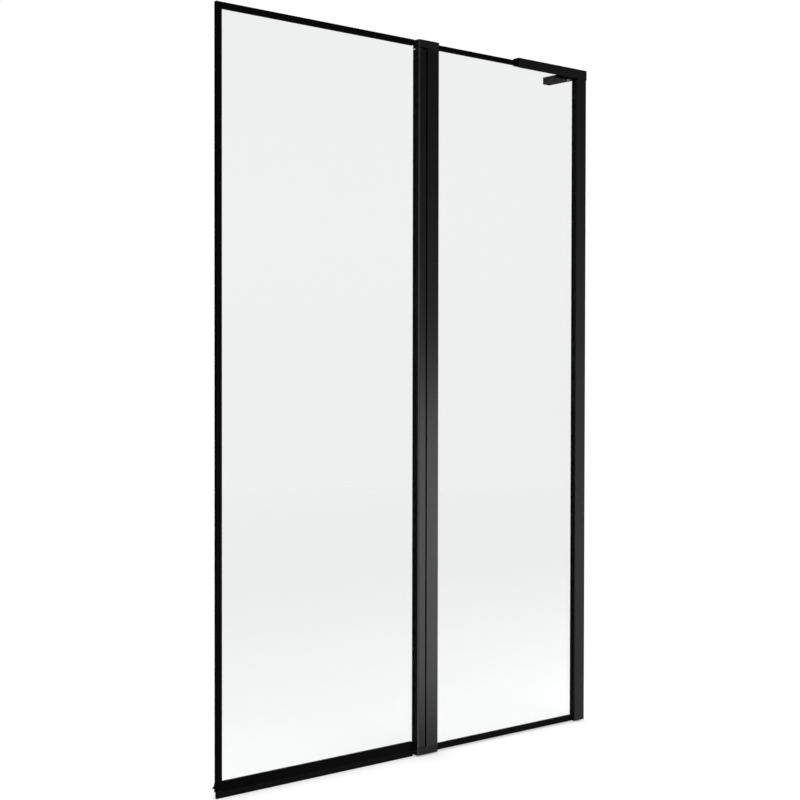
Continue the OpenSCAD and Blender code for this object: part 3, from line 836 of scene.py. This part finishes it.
class BATHSCREEN_OT_glazing_gaskets(bpy.types.Operator):
    """Glazing gaskets, each with the soft lip that shows beside its pocket"""

    bl_idname = "bathscreen.glazing_gaskets"
    bl_label = "Glazing gaskets"

    def execute(self, context):
        lip = context.scene.screen_seals.lip
        rail_low, rail_high = sizes("door_bottom_rail")
        top = sizes("door_top_rail")[0][2]
        barrel_low, barrel_high = sizes("hinge_barrel")
        left, bottom, right = rail_low[0], rail_high[2], barrel_low[0]
        right_run = (sizes("door_glass")[0][2], barrel_high[2])
        self.build("door", DOOR, (left, bottom, right, top), (left, rail_high[0]), right_run)
        self.edge_notch(barrel_high[2], top - lip)
        rail_low, rail_high = sizes("fixed_bottom_rail")
        top = sizes("fixed_top_rail")[0][2]
        left, bottom, right = rail_low[0], rail_high[2], rail_high[0]
        right_run = (bottom + lip, top - lip)
        self.build("fixed", FIXED, (left, bottom, right, top), (left, right), right_run)
        return {"FINISHED"}

    def build(self, panel, body, opening, level, right_run):
        """Four strips in front of a panel's pane, and the same behind it."""
        name = panel + "_glazing_gasket"
        left, bottom, right, top = opening
        lip = bpy.context.scene.screen_seals.lip
        low, high = sizes(panel + "_glass")
        wall, other_wall = [corner[1] for corner in sizes(panel + "_gaskets")]
        face = low[1] - PANE_GAP
        front = wall - LIP_FRONT
        strips = []
        for across, mouth, outer, way, run in (
            (Z, top, high[Z], -1.0, level),
            (Z, bottom, low[Z], 1.0, level),
            (X, left, low[X], 1.0, (bottom + lip, top - lip)),
            (X, right, high[X], -1.0, right_run),
        ):
            first = [run[0], wall, run[0]]
            last = [run[1], face, run[1]]
            first[across], last[across] = sorted((outer, mouth + way * lip))
            strips.append(lipped_strip(name, first, last, across, mouth, way, front))
        front_half = joined(name, strips)
        gasket = joined(name, [front_half, flipped_in_y(front_half, (wall + other_wall) / 2.0)])
        smooth(gasket, LIP_CREASE)
        finish_piece(gasket, body, "soft_seal", "seal", panel + "_gaskets")

    def edge_notch(self, bottom, top):
        """An angle of seal over the front arris of the door pane's notch, beside the hinge cap."""
        face = sizes("door_glass")[0][1]
        edge = sizes("rail_end_plugs")[1][0] - NOTCH_BACK
        seal = bar(
            "notch_edge_seal",
            (edge, face - NOTCH_FRONT, bottom + NOTCH_GAP),
            (edge + NOTCH_SIDE, face + NOTCH_DEPTH, top),
        )
        edit_all()
        bpy.ops.mesh.bisect(plane_co=(0.0, face, 0.0), plane_no=(0.0, 1.0, 0.0))
        pick(seal, "FACE", lambda middle, out: out.x < -ALIKE and middle.y < face)
        pull(-NOTCH_LEG, 0.0, 0.0)
        turn_outward()
        round_edges(seal, NOTCH_ROUND)
        finish_piece(seal, DOOR, "soft_seal", "seal")


class BATHSCREEN_OT_cap_screws(bpy.types.Operator):
    """Countersunk socket screws that hold the hinge caps to the post"""

    bl_idname = "bathscreen.cap_screws"
    bl_label = "Cap screws"

    def execute(self, context):
        low, high = sizes("cap_screws")
        head = (high[0] - low[0]) / 2.0
        middle = (high[0] + low[0]) / 2.0
        shank = CAP_SHANK * head
        neck = (shank, shank - head - CAP_RIM)
        screw = grown(
            "countersunk_screw",
            head,
            -CAP_RIM,
            -0.5 * CAP_RIM,
            [(head - 0.5 * CAP_RIM, 0.0)],
            [neck, (shank, -CAP_ENDS[0]), (CAP_TIP * shank, -CAP_ENDS[1])],
        )
        hex_socket(screw, 0.0, shank, *CAP_SOCKET)
        ends = ((high[2], 1.0), (low[2], -1.0))
        sides = (low[1] + head, high[1] - head)
        places = [((middle, side, level), (0.0, 0.0, up)) for level, up in ends for side in sides]
        screws = spread("countersunk_cap_screws", screw, places)
        smooth(screws)
        finish_piece(screws, FIXED, "black_steel", "stainless", "cap_screws")
        return {"FINISHED"}


class BATHSCREEN_OT_brace_screws(bpy.types.Operator):
    """Button head screw that locks the brace, its set screw below, and its two grub screws"""

    bl_idname = "bathscreen.brace_screws"
    bl_label = "Brace screws"

    def execute(self, context):
        low, high = sizes("brace_lock_screw")
        leg_low = sizes("brace_leg")[0]
        head = (high[2] - low[2]) / 2.0
        rise = leg_low[0] - low[0]
        reach = high[0] - leg_low[0]
        centre = (leg_low[0], (low[1] + high[1]) / 2.0, (low[2] + high[2]) / 2.0)
        screw = placed(self.button(head, rise, reach), centre, (-1.0, 0.0, 0.0))
        smooth(screw)
        finish_piece(screw, FIXED, "steel", "stainless", "brace_lock_screw")
        # The set screw under the leg shows in the photograph and has no CAD solid
        across, back = STUD_PLACE
        centre = (leg_low[0] + across, leg_low[1] + back, leg_low[2])
        beneath = placed(self.stud(), centre, (0.0, 0.0, -1.0))
        smooth(beneath)
        finish_piece(beneath, FIXED, "zinc_plated", "stainless")
        low, high = sizes("brace_grub_screws")
        radius = (high[2] - low[2]) / 2.0
        length = high[1] - low[1]
        grub = grown(
            "socket_grub",
            radius,
            -length + GRUB_POINT,
            -GRUB_CHAMFER,
            [(radius - GRUB_CHAMFER, 0.0)],
            [(radius - GRUB_POINT, -length)],
            sides=32,
        )
        hex_socket(grub, 0.0, radius, *GRUB_SOCKET)
        level = (low[2] + high[2]) / 2.0
        sides = (low[0] + radius, high[0] - radius)
        places = [((side, high[1], level), (0.0, 1.0, 0.0)) for side in sides]
        grubs = spread("brace_socket_grubs", grub, places)
        smooth(grubs)
        finish_piece(grubs, FIXED, "steel", "stainless", "brace_grub_screws")
        return {"FINISHED"}

    def stud(self):
        """A threaded set screw on Z that stands out of the plane of Z nought."""
        root = STUD_ROOT * STUD_RADIUS
        tip = STUD_TIP * STUD_RADIUS
        ridges = []
        for turn in range(1, int(STUD_RISE / STUD_PITCH)):
            ridges.append((root, (turn - 0.5) * STUD_PITCH))
            ridges.append((STUD_RADIUS, turn * STUD_PITCH))
        ridges.append((tip, STUD_RISE))
        point = [(tip, -STUD_REACH - GRUB_POINT)]
        side = (-STUD_REACH, STUD_START)
        screw = grown("brace_set_screw", STUD_RADIUS, *side, ridges, point, sides=32)
        return hex_socket(screw, STUD_RISE, STUD_RADIUS, *STUD_SOCKET)

    def button(self, head, rise, reach):
        """A button head screw on Z, with its head on the plane of Z nought."""
        dome = [(wide * head, level * rise) for wide, level in BUTTON_DOME]
        shank = BUTTON_SHANK * head
        screw = grown(
            "brace_button_screw",
            head,
            *[share * rise for share in BUTTON_SIDE],
            dome,
            [(BUTTON_UNDER * head, 0.0), (shank, 0.0), (shank, -reach)],
        )
        return hex_socket(screw, rise, head, BUTTON_SOCKET[0], BUTTON_SOCKET[1] * rise)


class BATHSCREEN_OT_screw_covers(bpy.types.Operator):
    """Domed covers snapped over the adjusting screws"""

    bl_idname = "bathscreen.screw_covers"
    bl_label = "Screw covers"

    def execute(self, context):
        low, high = sizes("screw_covers")
        head_low, head_high = sizes("adjusting_screws")
        radius = (high[0] - low[0]) / 2.0
        rise = high[1] - low[1]
        inner = (head_high[0] - head_low[0]) / 2.0 + COVER_ROOM
        hollow = head_high[1] - low[1] + COVER_ROOM
        dome = [(wide * radius, level * rise) for wide, level in COVER_DOME]
        inside = ((inner, 0.0), (inner, hollow))
        side = [share * rise for share in COVER_SIDE]
        cover = grown("domed_cover", radius, *side, dome, inside)
        middle = (low[0] + high[0]) / 2.0
        span = high[2] - low[2] - 2.0 * radius
        levels = [low[2] + radius + share * span for share in (0.0, 0.5, 1.0)]
        places = [((middle, low[1], level), (0.0, 1.0, 0.0)) for level in levels]
        covers = spread("domed_screw_covers", cover, places)
        smooth(covers, SOFT_CREASE)
        finish_piece(covers, FIXED, "moulding", "plastic", "screw_covers")
        return {"FINISHED"}


class BATHSCREEN_OT_hidden_fittings(bpy.types.Operator):
    """Pins, bushes, keys and the post's own seal, which keep their CAD shapes"""

    bl_idname = "bathscreen.hidden_fittings"
    bl_label = "Hidden fittings"

    def execute(self, context):
        for node, finish in (
            ("adjusting_screws", "steel"),
            ("fixed_corner_keys", "mill_aluminium"),
            ("pivot_pins", "steel"),
            ("hinge_gap_seal", "soft_seal"),
            ("pivot_bushes", "acetal"),
            ("door_corner_keys", "mill_aluminium"),
        ):
            dress(node, finish)
        return {"FINISHED"}


AMBIENT = 0.88
SATIN_LEVEL = 2.5
# How bright the studio is round the object, seen in a satin surface: (degrees from -Y to +X, share)
ROUND = (
    (-180.0, 0.25), (-160.0, 0.05), (-145.0, 0.0), (-120.0, 0.0), (-100.0, 0.09), (-80.0, 0.42),
    (-60.0, 0.95), (-35.0, 0.95), (0.0, 0.20), (22.0, 0.04), (34.0, 0.06), (40.0, 0.32),
    (50.0, 0.28), (75.0, 0.25), (105.0, 0.22), (125.0, 0.06), (152.0, 0.06), (170.0, 0.22),
    (180.0, 0.25),
)
# The same upwards: (degrees above the horizon, share)
UPWARDS = (
    (-90.0, 0.25), (-30.0, 0.3), (-18.0, 0.4), (-12.0, 0.95), (-6.0, 0.95), (0.0, 0.75),
    (6.0, 0.30), (14.0, 0.08), (30.0, 0.15), (60.0, 0.5), (90.0, 0.6),
)
# And what a clear pane mirrors above the horizon
MIRRORED = (
    (-90.0, 0.2), (-2.0, 0.21), (1.0, 0.22), (3.0, 0.34), (9.0, 0.33), (13.0, 0.19),
    (60.0, 0.2), (90.0, 0.3),
)
# The studio is open and bright where a pane mirrors it to either side: (degrees round, share)
OPEN_SIDES = (
    (-180.0, 0.85), (14.0, 0.85), (28.0, 0.0), (54.0, 0.0), (68.0, 0.85), (180.0, 0.85),
)
# Painted reflection: a pool of light that the floor shows only in a clear pane's sharp mirror,
# painted as a glow by the distance from the screen: (metres from the screen, share of the level)
POOL_REACH = 7.0
PAINTED_POOL_LEVEL = 1.25
PAINTED_POOL = (
    (0.0, 1.10), (0.24, 1.04), (0.36, 0.97), (0.48, 0.86), (0.68, 0.69), (0.90, 0.49),
    (1.12, 0.33), (1.42, 0.19), (1.74, 0.08), (2.20, 0.0), (2.80, 0.0), (3.60, 0.02),
    (4.20, 0.045), (5.50, 0.12), (POOL_REACH, 0.19),
)
# Where that painted glow is bright all the way out, as under the open sides: left, right and behind.
# (weights of X, of the distance from the screen and of Y, start, width beside the screen over which
# it brightens, growth of that width with the distance)
PAINTED_OPEN_GLOW = 0.72
OPEN_PARTS = (
    ((-1.0, 0.6, 0.0), 0.6, 0.4, 0.22),
    ((1.0, -1.2, 0.0), 0.6, 0.4, 0.85),
    ((0.0, 0.0, 1.0), 0.0, 0.4, 0.0),
)
# What the floor adds to itself for the camera, so that it ends up white: by the distance from the
# lamp's spot, and then from the screen, where the screen's own shade falls
LAMP_SPOT = (-0.3, -0.6)
FLOOR_FILL = (
    (0.0, 0.140), (0.60, 0.144), (1.00, 0.153), (1.40, 0.164), (2.00, 0.180), (2.50, 0.190),
    (3.00, 0.200), (3.60, 0.210), (4.30, 0.219), (5.20, 0.226), (6.70, 0.235),
    (POOL_REACH, 0.236),
)
SHADE_FILL = (
    (0.0, 0.158), (0.10, 0.142), (0.20, 0.114), (0.35, 0.076), (0.50, 0.042), (0.75, 0.026),
    (1.10, 0.014), (1.50, 0.006), (2.00, 0.0), (POOL_REACH, 0.0),
)
# The floor lies this far under the object
FLOOR_DROP = 0.2 * MM
FLOOR_SIDES = 96
# The lamps: place, the point they face, width, height and watts
SOFT_BOX = ((-0.6, -1.2, 3.4), (0.0, 0.0, 0.7), 2.6, 2.6, 22.0)
GLOSS_STRIP = ((1.00, -1.10, 0.23), (0.02, 0.0, 0.44), 0.25, 0.95, 2.6)
# The photograph's width in pixels, and the camera's sensor in millimetres
PHOTO_WIDTH = 800.0
SENSOR = 36.0


class BATHSCREEN_OT_stage(bpy.types.Operator):
    """Pale floor, plain soft studio light and the camera"""

    bl_idname = "bathscreen.stage"
    bl_label = "Stage"

    def execute(self, context):
        scene = context.scene
        settings = scene.screen_studio
        self.add_camera(scene, settings)
        self.add_floor(settings)
        self.add_lamps(scene)
        self.light_world(scene)
        scene.view_settings.view_transform = "Standard"
        return {"FINISHED"}

    def add_camera(self, scene, settings):
        """The camera at the photograph's place and angle."""
        yaw, pitch, roll = settings.yaw, settings.pitch, settings.roll
        ahead = Vector(
            (math.sin(yaw) * math.cos(pitch), math.cos(yaw) * math.cos(pitch), -math.sin(pitch))
        )
        right = Vector((math.cos(yaw), -math.sin(yaw), 0.0))
        down = ahead.cross(right)
        side = right * math.cos(roll) + down * math.sin(roll)
        lower = down * math.cos(roll) - right * math.sin(roll)
        data = bpy.data.cameras.new("photo_camera")
        data.sensor_width = SENSOR
        data.lens = settings.focal / PHOTO_WIDTH * SENSOR
        data.clip_start = 0.01
        data.clip_end = 100.0
        camera = bpy.data.objects.new("photo_camera", data)
        scene.collection.objects.link(camera)
        turn = Matrix((side, -lower, -ahead)).transposed().to_4x4()
        camera.matrix_world = Matrix.Translation(Vector(settings.place)) @ turn
        scene.camera = camera

    def add_floor(self, settings):
        """A round pale floor that keeps the shadow, stays out of blurred reflections, and glows as a
        painted pool of light in sharp ones.
        """
        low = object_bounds()[0]
        bpy.ops.mesh.primitive_circle_add(
            vertices=FLOOR_SIDES,
            radius=POOL_REACH,
            fill_type="NGON",
            location=(0.0, 0.0, low[2] - FLOOR_DROP),
        )
        floor = bpy.context.active_object
        floor.name = "studio_floor"
        settle(floor)
        material, tree, shader = new_material("pale_floor")
        way = add_node(tree, "ShaderNodeLightPath").outputs
        place = add_node(tree, "ShaderNodeTexCoord").outputs["Object"]
        parts = add_node(tree, "ShaderNodeSeparateXYZ", {0: place}).outputs
        beside = maths(tree, "DIVIDE", maths(tree, "ABSOLUTE", parts["Y"]), POOL_REACH)
        ends = {0: place, 1: (*LAMP_SPOT, low[2])}
        away = add_node(tree, "ShaderNodeVectorMath", ends, operation="DISTANCE")
        away = maths(tree, "DIVIDE", away.outputs["Value"], POOL_REACH)
        far_fill = ramp(tree, away, FLOOR_FILL, 0.0, POOL_REACH)
        shade_fill = ramp(tree, beside, SHADE_FILL, 0.0, POOL_REACH)
        glow = maths(tree, "ADD", far_fill, shade_fill)
        inputs = {
            "Base Color": (*settings.floor, 1.0),
            "Roughness": 0.9,
            "Specular IOR Level": 0.0,
            "Emission Color": WHITE,
            "Emission Strength": maths(tree, "MULTIPLY", way["Is Camera Ray"], glow),
        }
        feed(shader, inputs)
        # Painted reflection: sharp mirror rays see the floor as a glowing painted pool of light, not
        # as the lit floor, and blurred gloss sees through it
        painted_pool = ramp(tree, beside, PAINTED_POOL, 0.0, POOL_REACH)
        painted_pool = maths(tree, "MAXIMUM", painted_pool, self.painted_open_glow(tree, parts))
        level = maths(tree, "MULTIPLY", painted_pool, PAINTED_POOL_LEVEL)
        painted_reflection = add_node(tree, "ShaderNodeEmission", {"Strength": level})
        through = add_node(tree, "ShaderNodeBsdfTransparent")
        dull = mixed(tree, way["Is Glossy Ray"], shader, through)
        mix = mixed(tree, way["Is Singular Ray"], dull, painted_reflection)
        feed(tree.nodes["Material Output"], {"Surface": mix.outputs[0]})
        floor.data.materials.append(material)
        floor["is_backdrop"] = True

    def painted_open_glow(self, tree, parts):
        """How bright the painted reflection of the floor glows where the floor lies open, to either
        side and behind.
        """
        either_way = maths(tree, "ABSOLUTE", parts["Y"])
        inputs = {"X": parts["X"], "Y": either_way, "Z": parts["Y"]}
        away = add_node(tree, "ShaderNodeCombineXYZ", inputs).outputs["Vector"]
        share = 0.0
        for weights, start, width, growth in OPEN_PARTS:
            inputs = {0: away, 1: weights}
            reach = add_node(tree, "ShaderNodeVectorMath", inputs, operation="DOT_PRODUCT")
            part = maths(tree, "SUBTRACT", reach.outputs["Value"], start)
            edge = maths(tree, "ADD", maths(tree, "MULTIPLY", either_way, growth), width)
            share = maths(tree, "MAXIMUM", share, maths(tree, "DIVIDE", part, edge))
        return maths(tree, "MULTIPLY", maths(tree, "MINIMUM", share, 1.0), PAINTED_OPEN_GLOW)

    def add_lamps(self, scene):
        """A soft box overhead, and a narrow one that only glosses the hinge."""
        self.add_lamp(scene, "soft_box", *SOFT_BOX)
        strip = self.add_lamp(scene, "gloss_strip", *GLOSS_STRIP)
        strip.visible_diffuse = False
        glossed = bpy.data.collections.new("glossed_by_the_strip")
        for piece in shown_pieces():
            if not piece.name.endswith("_pane"):
                glossed.objects.link(piece)
        strip.light_linking.receiver_collection = glossed

    def add_lamp(self, scene, name, place, target, wide, high, watts):
        """A rectangular lamp that faces a point."""
        data = bpy.data.lights.new(name, "AREA")
        data.shape = "RECTANGLE"
        data.size = wide
        data.size_y = high
        data.energy = watts
        lamp = bpy.data.objects.new(name, data)
        scene.collection.objects.link(lamp)
        lamp.location = place
        lamp.rotation_mode = "QUATERNION"
        way = Vector(target) - Vector(place)
        lamp.rotation_quaternion = way.to_track_quat("-Z", "Y")
        lamp.visible_camera = False
        return lamp

    def light_world(self, scene):
        """White behind the object, and a soft studio round it in its reflections."""
        world = bpy.data.worlds.new("studio")
        scene.world = world
        world.use_nodes = True
        world.cycles.sampling_method = "NONE"
        tree = world.node_tree
        place = add_node(tree, "ShaderNodeTexCoord").outputs["Generated"]
        parts = add_node(tree, "ShaderNodeSeparateXYZ", {0: place}).outputs
        angle = maths(tree, "ARCTAN2", parts["X"], maths(tree, "MULTIPLY", parts["Y"], -1.0))
        around = maths(tree, "ADD", maths(tree, "DIVIDE", angle, 2.0 * math.pi), 0.5)
        rise = maths(tree, "ARCSINE", parts["Z"])
        upward = maths(tree, "ADD", maths(tree, "DIVIDE", rise, math.pi), 0.5)
        side_level = ramp(tree, around, ROUND, -180.0, 180.0, "CARDINAL")
        up_level = ramp(tree, upward, UPWARDS, -90.0, 90.0, "CARDINAL")
        mirror_level = ramp(tree, upward, MIRRORED, -90.0, 90.0, "CARDINAL")
        sides = ramp(tree, around, OPEN_SIDES, -180.0, 180.0)
        mirror_level = maths(tree, "MAXIMUM", mirror_level, sides)
        satin_level = maths(tree, "MULTIPLY", side_level, up_level)
        satin_level = maths(tree, "MULTIPLY", satin_level, SATIN_LEVEL)
        way = add_node(tree, "ShaderNodeLightPath").outputs
        glossy = way["Is Glossy Ray"]
        sharp = maths(tree, "MULTIPLY", glossy, way["Is Singular Ray"])
        blurred = maths(tree, "SUBTRACT", glossy, sharp)
        rest = maths(tree, "SUBTRACT", 1.0, glossy)
        level = maths(tree, "MULTIPLY", blurred, satin_level)
        level = maths(tree, "ADD", level, maths(tree, "MULTIPLY", sharp, mirror_level))
        level = maths(tree, "ADD", level, maths(tree, "MULTIPLY", rest, AMBIENT))
        level = maths(tree, "MAXIMUM", level, way["Is Camera Ray"])
        feed(tree.nodes["Background"], {"Color": WHITE, "Strength": level})


class BATHSCREEN_PT_pieces(bpy.types.Panel):
    """Pieces of the bath screen"""

    bl_label = "Bath screen"
    bl_idname = "BATHSCREEN_PT_pieces"
    bl_space_type = "VIEW_3D"
    bl_region_type = "UI"
    bl_category = "Bath screen"

    def draw(self, context):
        for group, kind in SETTINGS:
            box = self.layout.box()
            for name in kind.__annotations__:
                box.prop(getattr(context.scene, group), name)
        for operator in OPERATORS:
            self.layout.operator(operator.bl_idname)


SETTINGS = (
    ("screen_extrusions", ExtrusionSettings),
    ("screen_mouldings", MouldingSettings),
    ("screen_glass", GlassSettings),
    ("screen_seals", SealSettings),
    ("screen_studio", StudioSettings),
)
OPERATORS = (
    BATHSCREEN_OT_wall_profile,
    BATHSCREEN_OT_rails,
    BATHSCREEN_OT_hinge_profiles,
    BATHSCREEN_OT_hinge_caps,
    BATHSCREEN_OT_outer_stile,
    BATHSCREEN_OT_panes,
    BATHSCREEN_OT_brace,
    BATHSCREEN_OT_drip_seal,
    BATHSCREEN_OT_glazing_gaskets,
    BATHSCREEN_OT_cap_screws,
    BATHSCREEN_OT_brace_screws,
    BATHSCREEN_OT_screw_covers,
    BATHSCREEN_OT_hidden_fittings,
    BATHSCREEN_OT_stage,
)


def register():
    """Registers the settings, the operators and the panel."""
    for name, kind in SETTINGS:
        bpy.utils.register_class(kind)
        setattr(bpy.types.Scene, name, bpy.props.PointerProperty(type=kind))
    for operator in OPERATORS:
        bpy.utils.register_class(operator)
    bpy.utils.register_class(BATHSCREEN_PT_pieces)


def unregister():
    """Takes them away again."""
    bpy.utils.unregister_class(BATHSCREEN_PT_pieces)
    for operator in reversed(OPERATORS):
        bpy.utils.unregister_class(operator)
    for name, kind in reversed(SETTINGS):
        delattr(bpy.types.Scene, name)
        bpy.utils.unregister_class(kind)


def main():
    """Makes every piece."""
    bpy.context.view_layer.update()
    register()
    for operator in OPERATORS:
        group, name = operator.bl_idname.split(".")
        getattr(getattr(bpy.ops, group), name)()


if __name__ == "__main__":
    main()
